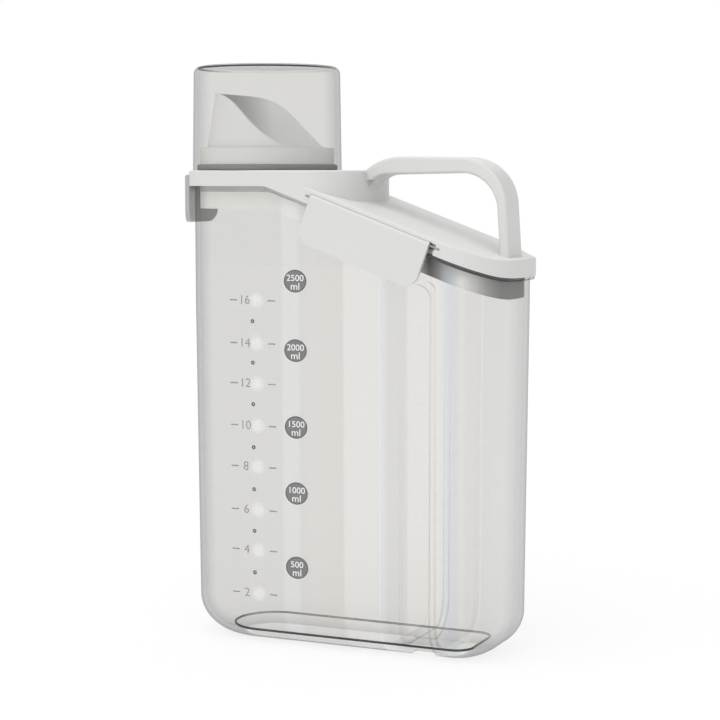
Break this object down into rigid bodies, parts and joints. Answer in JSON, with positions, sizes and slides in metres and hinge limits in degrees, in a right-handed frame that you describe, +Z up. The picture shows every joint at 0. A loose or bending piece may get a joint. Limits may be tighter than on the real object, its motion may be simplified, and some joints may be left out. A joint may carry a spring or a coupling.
{
  "type": "pet food storage container",
  "caption": "Tall clear dry-food keeper with a sloping clip-on lid, a carry handle, a scoop-shaped pouring spout and a clear measuring cup that covers the spout.",
  "frame": {"origin": "on the ground, under the middle of the overall outline", "axes": "+X from the round spout end to the handle end, +Y to the back, +Z up"},
  "size_m": [0.203, 0.086, 0.322],
  "materials": {
    "clear_body": "clear gloss moulded plastic",
    "clear_cup": "clear gloss moulded plastic",
    "white_plastic": "satin gloss white moulded plastic",
    "gasket_silicone": "milky grey silicone",
    "seal_rubber": "dark grey silicone",
    "pin_steel": "drawn wire"
  },
  "bodies": {
    "container": {"body_shell": "clear_body"},
    "lid": {"lid_cover": "white_plastic", "lid_plug_ring": "white_plastic", "lid_gasket": "gasket_silicone", "carry_handle": "white_plastic", "pouring_spout": "white_plastic", "spout_seal_ring": "seal_rubber", "front_latch_pin": "pin_steel", "back_latch_pin": "pin_steel", "end_latch_pin": "pin_steel"},
    "front_latch": {"front_latch": "white_plastic"},
    "back_latch": {"back_latch": "white_plastic"},
    "end_latch": {"end_latch": "white_plastic"},
    "measuring_cup": {"measuring_cup": "clear_cup"}
  },
  "joints": [
    {"name": "lid_lift", "type": "slide", "parent": "container", "child": "lid", "axis": [0, 0, 1], "range_m": [0, 0.04]},
    {"name": "cup_lift", "type": "slide", "parent": "lid", "child": "measuring_cup", "axis": [0, 0, 1], "range_m": [0, 0.065]},
    {"name": "front_latch_hinge", "type": "hinge", "parent": "lid", "child": "front_latch", "pos_m": [0.0269, -0.0414, 0.23712], "axis": [-0.9397, 0, 0.342], "range_deg": [0, 95]},
    {"name": "back_latch_hinge", "type": "hinge", "parent": "lid", "child": "back_latch", "pos_m": [0.0269, 0.0414, 0.23712], "axis": [0.9397, 0, -0.342], "range_deg": [0, 95]},
    {"name": "end_latch_hinge", "type": "hinge", "parent": "lid", "child": "end_latch", "pos_m": [-0.09975, 0, 0.2604], "axis": [0, 1, 0], "range_deg": [0, 100]}
  ]
}
